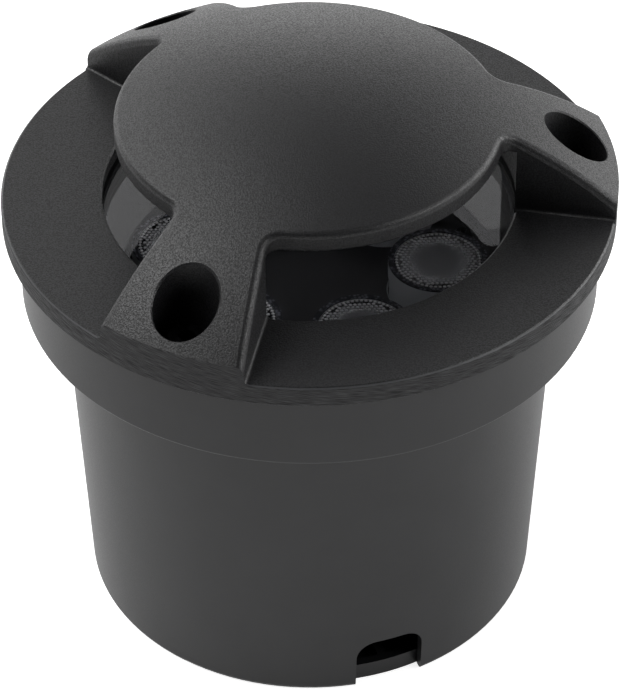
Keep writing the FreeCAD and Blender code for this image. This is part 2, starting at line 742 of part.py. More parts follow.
def make_chip():
    return block(*chip_size, Vector(*chip_at, driver_board_top))


def make_terminal():
    """Two-way terminal block under the driver board."""
    foot = driver_board_z - terminal_size[2]
    body = block(*terminal_size, Vector(*terminal_at, foot))
    for side in (-1, 1):
        at = Vector(terminal_at[0] + side * terminal_hole_gap, terminal_at[1], 0)
        body = body.cut(cylinder(terminal_hole_r, foot - through, foot + terminal_hole_depth, at))
    return body


# ---------------------------------------------------------------- rear cap
def make_rear_cap():
    cap = cylinder(cap_r, cap_z, cap_top)
    cap = cap.makeChamfer(cap_bevel, edges_where(cap, lambda p: abs(p.z - cap_z) < near))
    cap = cap.cut(cylinder(gland_r + fit_gap, cap_z - through, cap_top + through))
    cap = cap.cut(cylinder(vent_r + fit_gap, cap_z - through, cap_top + through, Vector(vent_pitch, 0, 0)))
    for angle in cap_screw_angles:
        cap = cap.cut(cylinder(m3_r + screw_clear, cap_z - through, cap_top + through,
                               polar(cap_screw_pitch, angle)))
    return cap


def make_cap_gasket():
    seal = ring(cap_r - cap_gasket_set_in, driver_bore_r, cap_top, housing_foot_z)
    for angle in cap_screw_angles:
        seal = seal.cut(cylinder(m3_r + screw_clear, cap_top - through, housing_foot_z + through,
                                 polar(cap_screw_pitch, angle)))
    return seal


def make_gland_body():
    washer_z = cap_z - gland_washer_t
    flange_z = washer_z - gland_flange_t
    body = hexagon(gland_hex_af, flange_z, washer_z)
    body = body.fuse(cylinder(gland_r, washer_z, washer_z + gland_stub_len))
    nose_z = flange_z - gland_nose_len
    body = body.fuse(cylinder(gland_nose_r, nose_z, flange_z))
    body = body.cut(cylinder(gland_bore_r, nose_z, washer_z + gland_stub_len + through))
    return body.cut(cylinder(gland_nose_bore, nose_z - through, flange_z - gland_seal_seat))


def make_gland_nut():
    top = cap_z - gland_washer_t - gland_flange_t - nut_gap
    foot = top - nut_len
    rounding = revolve([(0, foot), (nut_end_r, foot), (nut_shoulder_r, foot + nut_shoulder_h),
                        (nut_shoulder_r, top), (0, top)])
    nut = hexagon(gland_hex_af, foot, top).common(rounding)
    nut = nut.cut(cylinder(gland_nose_r + turn_gap, foot + nut_end_t, top + through))
    return nut.cut(cylinder(nut_bore_r, foot - through, foot + nut_end_t + through))


def make_gland_seal():
    top = cap_z - gland_washer_t - gland_flange_t - gland_seal_seat
    return ring(gland_nose_bore - fit_gap, seal_r, top - seal_len, top)


def make_vent():
    at = Vector(vent_pitch, 0, 0)
    plug = cylinder(vent_head_r, cap_z - vent_head_h, cap_z, at)
    plug = plug.makeFillet(vent_round, edges_where(plug, lambda p: abs(p.z - cap_z + vent_head_h) < near))
    plug = plug.fuse(cylinder(vent_r, cap_z, cap_z + vent_stub, at))
    hole = Part.makeCylinder(vent_hole_r, vent_head_r + through, Vector(0, 0, 0), Vector(1, 0, 0))
    for k in range(vent_hole_count):
        side = turned(hole, 360.0 * k / vent_hole_count)
        plug = plug.cut(moved(side, at.x, at.y, cap_z - vent_head_h / 2))
    return plug


# ---------------------------------------------------------------- build
def build():
    os.makedirs("parts", exist_ok=True)
    save("sleeve", make_sleeve())
    save("base_plate", make_base_plate())
    save("base_plate_screws", [pan_screw(m3_r, base_screw_len, m3_head_r, m3_head_h,
                                         polar(base_screw_r, a), m3_head_h + base_head_sink)
                               for a in base_screw_angles])
    save("threaded_inserts", [make_insert(polar(fixing_r, a)) for a in leg_angles])

    save("cover", make_cover())
    save("glass", make_glass())
    save("glass_gasket", make_gasket())
    save("housing", make_housing())
    save("flange_screws", [pan_screw(m4_r, m4_len, m4_head_r, m4_head_h, polar(flange_screw_r, a), head_z)
                           for a in flange_screw_angles])

    for number, angle in enumerate(lens_angles, 1):
        save(f"lens_cup_{number}", on_ring(make_cup(), angle))
        save(f"lens_{number}", on_ring(make_lens(), angle))
        save(f"led_{number}", on_ring(make_led(), angle))
    save("led_board", make_led_board())
    save("thermal_pad", make_pad())
    save("board_screws", [pan_screw(m3_r, m3_len, m3_head_r, m3_head_h, polar(board_screw_pitch, a),
                                    board_top, up=False) for a in board_screw_angles])
    save("bezel_plate", make_bezel())
    save("bezel_screws", [pan_screw(m3_r, m3_len, m3_head_r, m3_head_h, polar(bezel_post_pitch, a),
                                    bezel_top, up=False) for a in post_angles])

    save("driver_board", make_driver_board())
    save("driver_standoffs", [make_standoff(a) for a in standoff_angles])
    save("driver_screws", [pan_screw(m3_r, m3_len, m3_head_r, m3_head_h, polar(standoff_pitch, a),
                                     driver_board_z) for a in standoff_angles])
    save("driver_capacitor", make_capacitor())
    save("driver_inductor", make_inductor())
    save("driver_chip", make_chip())
    save("terminal_block", make_terminal())
    save("lead_red", make_lead(1))
    save("lead_black", make_lead(-1))
    save("lead_grommet", make_grommet())

    save("rear_cap", make_rear_cap())
    save("rear_gasket", make_cap_gasket())
    save("rear_cap_screws", [pan_screw(m3_r, cap_t + cap_gasket_t + m3_len, m3_head_r, m3_head_h,
                                       polar(cap_screw_pitch, a), cap_z) for a in cap_screw_angles])
    save("gland_body", make_gland_body())
    save("gland_washer", ring(gland_hex_af / 2, gland_r + fit_gap, cap_z - gland_washer_t, cap_z))
    save("gland_locknut", hexagon(gland_hex_af, cap_top, cap_top + locknut_t).cut(
        cylinder(gland_r + fit_gap, cap_top - through, cap_top + locknut_t + through)))
    save("gland_seal", make_gland_seal())
    save("gland_nut", make_gland_nut())
    save("vent_plug", make_vent())

    for number, angle in enumerate(leg_angles, 1):
        at = polar(fixing_r, angle)
        washer = cylinder(washer_r, counterbore_z, counterbore_z + washer_t, at)
        save(f"screw_washer_{number}", washer.cut(cylinder(screw_r + turn_gap, 0, flange_top, at)))
        save(f"cover_screw_{number}", fixing_screw(at))


build()
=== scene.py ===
import math

import bmesh
import bpy
from mathutils import Matrix, Vector


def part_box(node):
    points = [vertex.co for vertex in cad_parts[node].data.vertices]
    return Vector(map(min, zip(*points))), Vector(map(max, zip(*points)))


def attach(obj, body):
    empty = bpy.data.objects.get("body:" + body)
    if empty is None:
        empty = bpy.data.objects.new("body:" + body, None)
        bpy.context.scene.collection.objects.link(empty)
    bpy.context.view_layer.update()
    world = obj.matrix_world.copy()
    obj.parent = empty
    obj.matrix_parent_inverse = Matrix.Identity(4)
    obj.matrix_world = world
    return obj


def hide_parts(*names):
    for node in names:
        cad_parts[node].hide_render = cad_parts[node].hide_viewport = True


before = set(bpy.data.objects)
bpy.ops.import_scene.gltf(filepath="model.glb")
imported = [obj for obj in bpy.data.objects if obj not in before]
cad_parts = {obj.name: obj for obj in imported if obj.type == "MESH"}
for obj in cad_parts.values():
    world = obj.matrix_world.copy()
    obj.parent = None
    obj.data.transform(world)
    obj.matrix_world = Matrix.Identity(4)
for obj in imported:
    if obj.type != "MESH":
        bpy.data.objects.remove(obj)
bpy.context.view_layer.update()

MM = 0.001
scene = bpy.context.scene
scene.view_settings.view_transform = "Standard"

# Places on the part that the materials and the lenses follow.
FLANGE_R = 80.0 * MM
FLANGE_TOP = 123.8 * MM
LENS_COUNT = 6
LENS_RING = 34.0 * MM             # the lenses stand on this radius
LENS_PHASE = math.radians(-10.5)  # azimuth of the first
FROST_AND_PAINTED_LIGHT_START = 5.4 * MM            # a lens's face turns from clear, up to this radius, to frosted, with painted glints and painted shade on its pebbles, from this one
FROST_AND_PAINTED_LIGHT_END = 9.4 * MM              # to frosted, from this one
HOLDER_RIM = 99.0 * MM            # the lens holders' rims start at this height
BEZEL_HOLE = 13.5 * MM            # radius of the dark plate's holes
LED_DOME = 84.6 * MM              # the LEDs' silicone domes start at this height
SOFT = 0.05 * MM                  # half the width of a change of material

# A lens's profile: its rim, the cone under it, and the pocket for the LED.
LENS_R, LENS_RIM, LENS_BEVEL = 11.6 * MM, 2.1 * MM, 0.2 * MM
CONE_R, CONE_FOOT_R = 10.7 * MM, 5.3 * MM
POCKET_R, POCKET_TOP_R, POCKET_WALL, POCKET_DEPTH = 2.6 * MM, 2.2 * MM, 3.4 * MM, 4.0 * MM
FACE_RISE = 0.1 * MM              # the pebbled face stands this far over the plain solid
FACE_STEP, FACE_RINGS, LENS_SIDES = 0.22 * MM, 51, 288
SHARP = math.radians(40)          # a lens's edges past this angle stay sharp


# ------------------------------------------------------------ small helpers
def linear(hex_colour):
    """sRGB hex to the linear colour that a shader takes."""
    parts = [int(hex_colour[i:i + 2], 16) / 255 for i in (1, 3, 5)]
    return [c / 12.92 if c <= 0.04045 else ((c + 0.055) / 1.055) ** 2.4 for c in parts] + [1.0]


def wire(tree, node, inputs):
    """Gives a node's inputs, by name or by number, their values or links. A node that is
    given as a link stands for its own result."""
    for key, value in dict(inputs).items():
        into = node.inputs[key] if isinstance(key, int) else next(
            socket for socket in node.inputs if socket.enabled and socket.name == key)
        if isinstance(value, bpy.types.Node):
            value = next(socket for socket in value.outputs if socket.enabled)
        if isinstance(value, bpy.types.NodeSocket):
            tree.links.new(value, into)
        else:
            into.default_value = value


def add(tree, kind, inputs=(), **settings):
    """Adds a node with its settings, values and links."""
    node = tree.nodes.new(kind)
    for key, value in settings.items():
        setattr(node, key, value)
    wire(tree, node, inputs)
    return node


def shader(name, **values):
    """A new material with one Principled surface, and Object coordinates to draw on."""
    made = bpy.data.materials.new(name)
    made.use_nodes = True
    tree = made.node_tree
    tree.nodes.clear()
    surface = add(tree, "ShaderNodeBsdfPrincipled", values)
    add(tree, "ShaderNodeOutputMaterial", {"Surface": surface})
    place = add(tree, "ShaderNodeTexCoord").outputs["Object"]
    return made, tree, surface, place


def round_the_axis(tree, place):
    """Radius, azimuth and height of a place, about the lamp's upright axis."""
    x, y, height = add(tree, "ShaderNodeSeparateXYZ", {"Vector": place}).outputs
    flat = add(tree, "ShaderNodeCombineXYZ", {"X": x, "Y": y})
    radius = add(tree, "ShaderNodeVectorMath", {0: flat}, operation="LENGTH")
    azimuth = add(tree, "ShaderNodeMath", {0: y, 1: x}, operation="ARCTAN2")
    return radius, azimuth, height


def to_nearest_lens(tree, place):
    """Distance on the plan from the nearest lens's axis: the plan is folded until all the
    lenses fall on one."""
    radius, azimuth, _ = round_the_axis(tree, place)
    from_first = add(tree, "ShaderNodeMath", {0: azimuth, 1: LENS_PHASE}, operation="SUBTRACT")
    away = add(tree, "ShaderNodeMath", {0: from_first, 1: math.pi / LENS_COUNT},
               operation="PINGPONG")
    ahead = add(tree, "ShaderNodeMath", {0: away}, operation="COSINE")
    ahead = add(tree, "ShaderNodeMath", {0: radius, 1: ahead}, operation="MULTIPLY")
    ahead = add(tree, "ShaderNodeMath", {0: ahead, 1: LENS_RING}, operation="SUBTRACT")
    aside = add(tree, "ShaderNodeMath", {0: away}, operation="SINE")
    aside = add(tree, "ShaderNodeMath", {0: radius, 1: aside}, operation="MULTIPLY")
    offset = add(tree, "ShaderNodeCombineXYZ", {"X": ahead, "Y": aside})
    return add(tree, "ShaderNodeVectorMath", {0: offset}, operation="LENGTH")


# ------------------------------------------------------------ camera
CAMERA_PLACE = (-0.05291, -0.75665, 0.71226)
CAMERA_TURN = (85.9876, -40.2665, -0.209)  # azimuth, pitch and roll in degrees
FOCAL_LENGTH_PX = 3694.66
PHOTO_HEIGHT_PX = 691
SENSOR_MM = 36.0


def make_camera():
    """The photograph's view: 40.3 degrees down on the flange's middle, from 0.96 m."""
    azimuth, pitch, roll = (math.radians(angle) for angle in CAMERA_TURN)
    ahead = Vector((math.cos(azimuth) * math.cos(pitch), math.sin(azimuth) * math.cos(pitch),
                    math.sin(pitch)))
    side = ahead.cross(Vector((0, 0, 1))).normalized()
    up = side.cross(ahead)
    across = side * math.cos(roll) + up * math.sin(roll)
    up = up * math.cos(roll) - side * math.sin(roll)
    data = bpy.data.cameras.new("camera")
    data.sensor_width = SENSOR_MM
    data.lens = FOCAL_LENGTH_PX / PHOTO_HEIGHT_PX * SENSOR_MM
    data.clip_start, data.clip_end = 0.05, 50.0
    camera = bpy.data.objects.new("camera", data)
    turn = Matrix((across, up, -ahead)).transposed()
    camera.matrix_world = Matrix.Translation(CAMERA_PLACE) @ turn.to_4x4()
    scene.collection.objects.link(camera)
    scene.camera = camera


# ------------------------------------------------------------ studio
# Soft white panels round the object: azimuth and elevation in degrees, brightness, and how
# sharply each falls off. The paper sweep stands behind, a large box hangs high on the left,
# two small lamps on the right draw the bright lines along the cover's rounded edges, and the
# camera's own side of the room is left dark.
PANELS = [(86, 3, 2.08, 20), (131, 3, 2.16, 20), (41, 3, 2.4, 20), (86, 30, 0.56, 20),
          (131, 30, 2.24, 20), (41, 30, 1.28, 20), (131, 55, 0.72, 20), (176, 55, 5.6, 20),
          (15, 14, 9.6, 60), (338, 30, 8.8, 60)]
PAPER_MIRRORED = 0.33  # glow of the paper on the floor, as the object's surfaces mirror it
PAPER_SEEN = 0.85      # and as the camera sees it, on top of the light that falls on it
PAPER_HALF = 3.0       # half its width, m


def in_view(tree, rays):
    """1 where the camera looks, straight or through glass."""
    return add(tree, "ShaderNodeMath", {0: rays["Is Camera Ray"], 1: rays["Is Transmission Ray"]},
               operation="ADD", use_clamp=True)


def make_room():
    """A dark room with soft white panels, which the camera sees as plain white."""
    world = bpy.data.worlds.new("dark room with white panels")
    world.use_nodes = True
    tree = world.node_tree
    tree.nodes.clear()
    look = add(tree, "ShaderNodeTexCoord").outputs["Generated"]
    room = 0.0
    for azimuth, elevation, brightness, focus in PANELS:
        a, e = math.radians(azimuth), math.radians(elevation)
        aim = (math.cos(a) * math.cos(e), math.sin(a) * math.cos(e), math.sin(e))
        toward = add(tree, "ShaderNodeVectorMath", {0: look, 1: aim}, operation="DOT_PRODUCT")
        panel = add(tree, "ShaderNodeMath", {0: toward, 1: 0.0}, operation="MAXIMUM")
        panel = add(tree, "ShaderNodeMath", {0: panel, 1: focus}, operation="POWER")
        panel = add(tree, "ShaderNodeMath", {0: panel, 1: brightness}, operation="MULTIPLY")
        room = add(tree, "ShaderNodeMath", {0: room, 1: panel}, operation="ADD")
    rays = add(tree, "ShaderNodeLightPath").outputs
    strength = add(tree, "ShaderNodeMix", {"Factor": in_view(tree, rays), "A": room, "B": 1.0})
    sky = add(tree, "ShaderNodeBackground", {"Color": linear("#ffffff"), "Strength": strength})
    add(tree, "ShaderNodeOutputWorld", {"Surface": sky})
    scene.world = world


def make_floor():
    """White paper under the object, which keeps the object's shadow."""
    card = bpy.data.meshes.new("floor")
    half = PAPER_HALF
    card.from_pydata([(-half, -half, 0), (half, -half, 0), (half, half, 0), (-half, half, 0)], [],
                     [(0, 1, 2, 3)])
    floor = bpy.data.objects.new("floor", card)
    scene.collection.objects.link(floor)
    paper = bpy.data.materials.new("white paper")
    paper.use_nodes = True
    tree = paper.node_tree
    tree.nodes.clear()
    rays = add(tree, "ShaderNodeLightPath").outputs
    mirrored = add(tree, "ShaderNodeMath", {0: rays["Is Glossy Ray"], 1: PAPER_MIRRORED},
                   operation="MULTIPLY")
    seen = add(tree, "ShaderNodeMath", {0: in_view(tree, rays), 1: PAPER_SEEN},
               operation="MULTIPLY")
    strength = add(tree, "ShaderNodeMath", {0: mirrored, 1: seen}, operation="MAXIMUM")
    glow = add(tree, "ShaderNodeEmission", {"Strength": strength})
    matt = add(tree, "ShaderNodeBsdfDiffuse", {"Color": linear("#e7e7e7")})
    both = add(tree, "ShaderNodeAddShader", {0: matt, 1: glow})
    add(tree, "ShaderNodeOutputMaterial", {"Surface": both})
    card.materials.append(paper)


# ------------------------------------------------------------ materials
TURNED_SLANT = 0.13    # climb of the tool's drag lines as they go round the flange
TURNED_STRETCH = 30.0  # their length over their width


def powder_coat():
    """Die-cast aluminium under a fine sand powder coat: near black and satin, with a grain
    that breaks up the light. The real grain is finer than a pixel, so it's drawn coarser.
    The flange's edge and the ends of the legs were turned before coating, and the tool's
    slanting drag lines show through. A fine light line along the flange's upper edge is a
    painted highlight."""
    made, tree, surface, place = shader("powder_coat_fine_sand", IOR=1.5)
    radius, azimuth, height = round_the_axis(tree, place)
    grain = add(tree, "ShaderNodeTexNoise", {"Vector": place, "Scale": 1 / (0.42 * MM),
                                             "Detail": 3.0})
    peaks = add(tree, "ShaderNodeMapRange", {"Value": grain, "From Min": 0.4, "From Max": 0.6})
    coat = add(tree, "ShaderNodeMix", {"Factor": peaks, "A": linear("#030304"),
                                       "B": linear("#2b2b2d")}, data_type="RGBA")
    cloud = add(tree, "ShaderNodeTexNoise", {"Vector": place, "Scale": 1 / (9.0 * MM)})
    cloud = add(tree, "ShaderNodeMapRange", {"Value": cloud, "From Min": 0.35, "From Max": 0.7,
                                             "To Max": 0.3})
    coat = add(tree, "ShaderNodeMix", {"Factor": cloud, "A": coat, "B": linear("#1b1b1b")},
               data_type="RGBA")
    coat_rough = add(tree, "ShaderNodeMapRange", {"Value": grain, "From Min": 0.4, "From Max": 0.6,
                                                  "To Min": 0.54, "To Max": 0.3})

    # The turned face: streaks along the tool's way round, which climbs and wavers a little.
    turned = add(tree, "ShaderNodeMapRange", {"Value": radius, "From Min": FLANGE_R - 0.25 * MM,
                                              "From Max": FLANGE_R - 0.1 * MM})
    along = add(tree, "ShaderNodeMath", {0: azimuth, 1: FLANGE_R}, operation="MULTIPLY")
    climb = add(tree, "ShaderNodeMath", {0: along, 1: TURNED_SLANT}, operation="MULTIPLY")
    waver = add(tree, "ShaderNodeTexNoise", {"Vector": place, "Scale": 1 / (12.0 * MM),
                                             "Detail": 1.0})
    waver = add(tree, "ShaderNodeMath", {0: waver, 1: 0.25 * MM}, operation="MULTIPLY")
    climb = add(tree, "ShaderNodeMath", {0: climb, 1: waver}, operation="ADD")
    climb = add(tree, "ShaderNodeMath", {0: height, 1: climb}, operation="ADD")
    way = add(tree, "ShaderNodeCombineXYZ", {"X": along, "Z": climb})
    way = add(tree, "ShaderNodeMapping", {"Vector": way, "Scale": (1 / TURNED_STRETCH, 1, 1)})
    drag = add(tree, "ShaderNodeTexNoise", {"Vector": way, "Scale": 1 / (0.15 * MM)})
    ridges = add(tree, "ShaderNodeMapRange", {"Value": drag, "From Min": 0.4, "From Max": 0.6})
    streak = add(tree, "ShaderNodeMix", {"Factor": ridges, "A": linear("#020203"),
                                         "B": linear("#2c2c2e")}, data_type="RGBA")
    turned_rough = add(tree, "ShaderNodeMapRange", {"Value": drag, "From Min": 0.4,
                                                    "From Max": 0.6, "To Min": 0.78,
                                                    "To Max": 0.5})
    ridge = add(tree, "ShaderNodeMath", {0: drag, 1: 0.8}, operation="MULTIPLY")

    # Painted highlight along the flange's upper edge: nothing and all of it at these radii and
    # heights.
    painted_edge_highlight = 1.0
    for value, nothing, all_of_it in ((radius, FLANGE_R - 0.45 * MM, FLANGE_R - 0.38 * MM),
                                      (radius, FLANGE_R - 0.06 * MM, FLANGE_R - 0.1 * MM),
                                      (height, FLANGE_TOP - 0.6 * MM, FLANGE_TOP - 0.5 * MM),
                                      (height, FLANGE_TOP + 0.15 * MM, FLANGE_TOP + 0.05 * MM)):
        near = add(tree, "ShaderNodeMapRange", {"Value": value, "From Min": nothing,
                                                "From Max": all_of_it})
        painted_edge_highlight = add(tree, "ShaderNodeMath", {0: painted_edge_highlight, 1: near}, operation="MULTIPLY")

    colour = add(tree, "ShaderNodeMix", {"Factor": turned, "A": coat, "B": streak},
                 data_type="RGBA")
    # Paints the fine light line along the flange's upper edge: a painted highlight.
    colour = add(tree, "ShaderNodeMix", {"Factor": painted_edge_highlight, "A": colour, "B": linear("#454648")},
                 data_type="RGBA")
    rough = add(tree, "ShaderNodeMix", {"Factor": turned, "A": coat_rough, "B": turned_rough})
    relief = add(tree, "ShaderNodeMix", {"Factor": turned, "A": grain, "B": ridge})
    relief = add(tree, "ShaderNodeBump", {"Height": relief, "Distance": 0.12 * MM,
                                          "Strength": 0.8})
    wire(tree, surface, {"Base Color": colour, "Roughness": rough, "Normal": relief})
    return made


def moulded(name, dark, light, rough, skin_mm=0.35, depth_mm=0.02, **values):
    """Injection-moulded plastic or rubber: even, with faint clouds. The real spark-eroded
    skin is finer than a pixel, so it's drawn coarser."""
    made, tree, surface, place = shader(name, **{"IOR": 1.49, **values})
    cloud = add(tree, "ShaderNodeTexNoise", {"Vector": place, "Scale": 1 / (14.0 * MM),
                                             "Detail": 3.0})
    cloud = add(tree, "ShaderNodeMapRange", {"Value": cloud, "From Min": 0.35, "From Max": 0.65})
    colour = add(tree, "ShaderNodeMix", {"Factor": cloud, "A": linear(dark), "B": linear(light)},
                 data_type="RGBA")
    skin = add(tree, "ShaderNodeTexNoise", {"Vector": place, "Scale": 1 / (skin_mm * MM)})
    dull = add(tree, "ShaderNodeMapRange", {"Value": skin, "From Min": 0.3, "From Max": 0.7,
                                            "To Min": rough[0], "To Max": rough[1]})
    relief = add(tree, "ShaderNodeBump", {"Height": skin, "Distance": depth_mm * MM,
                                          "Strength": 0.6})
    wire(tree, surface, {"Base Color": colour, "Roughness": dull, "Normal": relief})
    return made


def metal(name, dark, light, rough, size_mm=2.0):
    """Bare, plated or blackened metal: bright where it is worn, duller in its pores."""
    made, tree, surface, place = shader(name, Metallic=1.0)
    pores = add(tree, "ShaderNodeTexNoise", {"Vector": place, "Scale": 1 / (size_mm * MM),
                                             "Detail": 4.0})
    worn = add(tree, "ShaderNodeMapRange", {"Value": pores, "From Min": 0.35, "From Max": 0.65})
    colour = add(tree, "ShaderNodeMix", {"Factor": worn, "A": linear(dark), "B": linear(light)},
                 data_type="RGBA")
    dull = add(tree, "ShaderNodeMapRange", {"Value": pores, "From Min": 0.3, "From Max": 0.7,
                                            "To Min": rough[0], "To Max": rough[1]})
    relief = add(tree, "ShaderNodeBump", {"Height": pores, "Distance": 0.02 * MM,
                                          "Strength": 0.5})
    wire(tree, surface, {"Base Color": colour, "Roughness": dull, "Normal": relief})
    return made


def toughened_glass():
    """Toughened soda-lime glass, polished: clear, with the faintest drift in its tint. Light
    that falls on the lamp passes it."""
    made, tree, surface, place = shader("toughened_glass", **{
        "IOR": 1.52, "Roughness": 0.0, "Transmission Weight": 1.0})
    drift = add(tree, "ShaderNodeTexNoise", {"Vector": place, "Scale": 1 / (30.0 * MM),
                                             "Detail": 1.0})
    tint = add(tree, "ShaderNodeMix", {"Factor": drift, "A": linear("#f2f2f6"),
                                       "B": linear("#f7f7fa")}, data_type="RGBA")
    wire(tree, surface, {"Base Color": tint})
    rays = add(tree, "ShaderNodeLightPath").outputs
    clear = add(tree, "ShaderNodeBsdfTransparent", {"Color": linear("#f6f7f7")})
    both = add(tree, "ShaderNodeMixShader", {0: rays["Is Shadow Ray"], 1: surface, 2: clear})
    out = next(node for node in tree.nodes if node.type == "OUTPUT_MATERIAL")
    wire(tree, out, {"Surface": both})
    return made


def clear_acrylic():
    """Moulded acrylic: clear in the middle, with a haze from the mould, and frosted on the
    pebbled ring, where the pebbles' tips are painted white as a painted glint and the gaps
    between them dark as painted shade."""
    made, tree, surface, place = shader("acrylic_moulded_clear", IOR=1.49)
    frost_and_painted_light = add(tree, "ShaderNodeMapRange", {"Value": to_nearest_lens(tree, place),
                                             "From Min": FROST_AND_PAINTED_LIGHT_START, "From Max": FROST_AND_PAINTED_LIGHT_END})
    clearness = add(tree, "ShaderNodeMapRange", {"Value": frost_and_painted_light, "To Min": 0.92, "To Max": 0.5})
    haze = add(tree, "ShaderNodeTexNoise", {"Vector": place, "Scale": 1 / (3.0 * MM)})
    rough = add(tree, "ShaderNodeMapRange", {"Value": haze, "From Min": 0.35, "From Max": 0.65,
                                             "To Min": 0.38, "To Max": 0.46})
    polish = add(tree, "ShaderNodeMath", {0: frost_and_painted_light, 1: 0.28}, operation="MULTIPLY")
    rough = add(tree, "ShaderNodeMath", {0: rough, 1: polish}, operation="SUBTRACT")
    # Painted glints on the pebbles' tips and painted shade in the gaps between them, by their crown.
    crown = add(tree, "ShaderNodeAttribute", attribute_name="crown").outputs["Fac"]
    tips = add(tree, "ShaderNodeMapRange", {"Value": crown, "From Min": 0.2, "From Max": 0.7})
    pebble = add(tree, "ShaderNodeMix", {"Factor": tips, "A": linear("#0e0f12"),
                                         "B": linear("#ffffff")}, data_type="RGBA")
    clear = add(tree, "ShaderNodeMix", {"Factor": haze, "A": linear("#e6e7ea"),
                                        "B": linear("#f2f3f5")}, data_type="RGBA")
    colour = add(tree, "ShaderNodeMix", {"Factor": frost_and_painted_light, "A": clear, "B": pebble},
                 data_type="RGBA")
    wire(tree, surface, {"Base Color": colour, "Roughness": rough,
                         "Transmission Weight": clearness})
    return made


def lens_holder():
    """Moulded polycarbonate, frosted: a milky grey side, and a rim painted dark as painted shade,
    with the tool's fine knurl on it, whose cells are painted darker towards their edges."""
    made, tree, surface, place = shader("polycarbonate_holder", IOR=1.58)
    height = add(tree, "ShaderNodeSeparateXYZ", {"Vector": place}).outputs["Z"]
    rim = add(tree, "ShaderNodeMapRange", {"Value": height, "From Min": HOLDER_RIM - SOFT,
                                           "From Max": HOLDER_RIM + SOFT})
    milk = add(tree, "ShaderNodeTexNoise", {"Vector": place, "Scale": 1 / (4.0 * MM)})
    side = add(tree, "ShaderNodeMix", {"Factor": milk, "A": linear("#bec1c2"),
                                       "B": linear("#d0d2d4")}, data_type="RGBA")
    knurl = add(tree, "ShaderNodeTexVoronoi", {"Vector": place, "Scale": 1 / (1.1 * MM)})
    knurl_painted_shade = add(tree, "ShaderNodeMapRange", {"Value": knurl, "From Min": 0.15,
                                               "From Max": 0.55})
    # Painted shade: the rim is drawn dark, and darker still towards the edges of the knurl's cells.
    rim_painted_shade = add(tree, "ShaderNodeMix", {"Factor": knurl_painted_shade, "A": linear("#6a6b72"),
                                      "B": linear("#1c1c20")}, data_type="RGBA")
    colour = add(tree, "ShaderNodeMix", {"Factor": rim, "A": side, "B": rim_painted_shade}, data_type="RGBA")
    rough = add(tree, "ShaderNodeMapRange", {"Value": milk, "From Min": 0.3, "From Max": 0.7,
                                             "To Min": 0.28, "To Max": 0.4})
    matt = add(tree, "ShaderNodeMath", {0: rim, 1: 0.3}, operation="MULTIPLY")
    rough = add(tree, "ShaderNodeMath", {0: rough, 1: matt}, operation="ADD")
    shine = add(tree, "ShaderNodeMapRange", {"Value": rim, "To Min": 0.5, "To Max": 0.15})
    relief = add(tree, "ShaderNodeBump", {"Height": knurl, "Distance": 0.08 * MM,
                                          "Strength": 0.5})
    wire(tree, surface, {"Base Color": colour, "Roughness": rough, "Specular IOR Level": shine,
                         "Normal": relief})
    return made


def bezel_sheet():
    """Punched sheet painted matt black, with a thin light line round the edge of each hole."""
    made, tree, surface, place = shader("painted_sheet_matt", IOR=1.5, Roughness=0.6)
    paint = add(tree, "ShaderNodeTexNoise", {"Vector": place, "Scale": 1 / (0.8 * MM)})
    coat = add(tree, "ShaderNodeMix", {"Factor": paint, "A": linear("#040406"),
                                       "B": linear("#08080b")}, data_type="RGBA")
    light_hole_edge = add(tree, "ShaderNodeMapRange", {"Value": to_nearest_lens(tree, place),
                                            "From Min": BEZEL_HOLE,
                                            "From Max": BEZEL_HOLE - 2 * SOFT})
    colour = add(tree, "ShaderNodeMix", {"Factor": light_hole_edge, "A": coat, "B": linear("#a2a4a6")},
                 data_type="RGBA")
    wire(tree, surface, {"Base Color": colour})
    return made


def led_package():
    """Ceramic package with a silicone dome over yellow phosphor."""
    made, tree, surface, place = shader("led_ceramic_and_phosphor", IOR=1.45, Roughness=0.25)
    height = add(tree, "ShaderNodeSeparateXYZ", {"Vector": place}).outputs["Z"]
    dome = add(tree, "ShaderNodeMapRange", {"Value": height, "From Min": LED_DOME - SOFT,
                                            "From Max": LED_DOME + SOFT})
    grains = add(tree, "ShaderNodeTexNoise", {"Vector": place, "Scale": 1 / (0.12 * MM)})
    phosphor = add(tree, "ShaderNodeMix", {"Factor": grains, "A": linear("#d8a91c"),
                                           "B": linear("#f0cb3a")}, data_type="RGBA")
    colour = add(tree, "ShaderNodeMix", {"Factor": dome, "A": linear("#e6e4dc"),
                                         "B": phosphor}, data_type="RGBA")
    relief = add(tree, "ShaderNodeBump", {"Height": grains, "Distance": 0.01 * MM,
                                          "Strength": 0.5})
    wire(tree, surface, {"Base Color": colour, "Normal": relief})
    return made


def circuit_board(name, mask, copper):
    """Solder mask over copper: flat, with the tracks showing as a slightly lighter maze."""
    made, tree, surface, place = shader(name, IOR=1.5, Roughness=0.32)
    cells = add(tree, "ShaderNodeTexVoronoi", {"Vector": place, "Scale": 1 / (5.0 * MM)},
                feature="DISTANCE_TO_EDGE")
    track = add(tree, "ShaderNodeMapRange", {"Value": cells, "From Min": 0.05, "From Max": 0.09})
    colour = add(tree, "ShaderNodeMix", {"Factor": track, "A": linear(copper),
                                         "B": linear(mask)}, data_type="RGBA")
    relief = add(tree, "ShaderNodeBump", {"Height": track, "Distance": 0.03 * MM,
                                          "Strength": 0.5})
    wire(tree, surface, {"Base Color": colour, "Normal": relief})
    return made


def put(material, *nodes):
    """Gives CAD nodes a material in every slot."""
    for name in nodes:
        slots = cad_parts[name].material_slots
        if not slots:
            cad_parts[name].data.materials.append(material)
        for slot in slots:
            slot.material = material


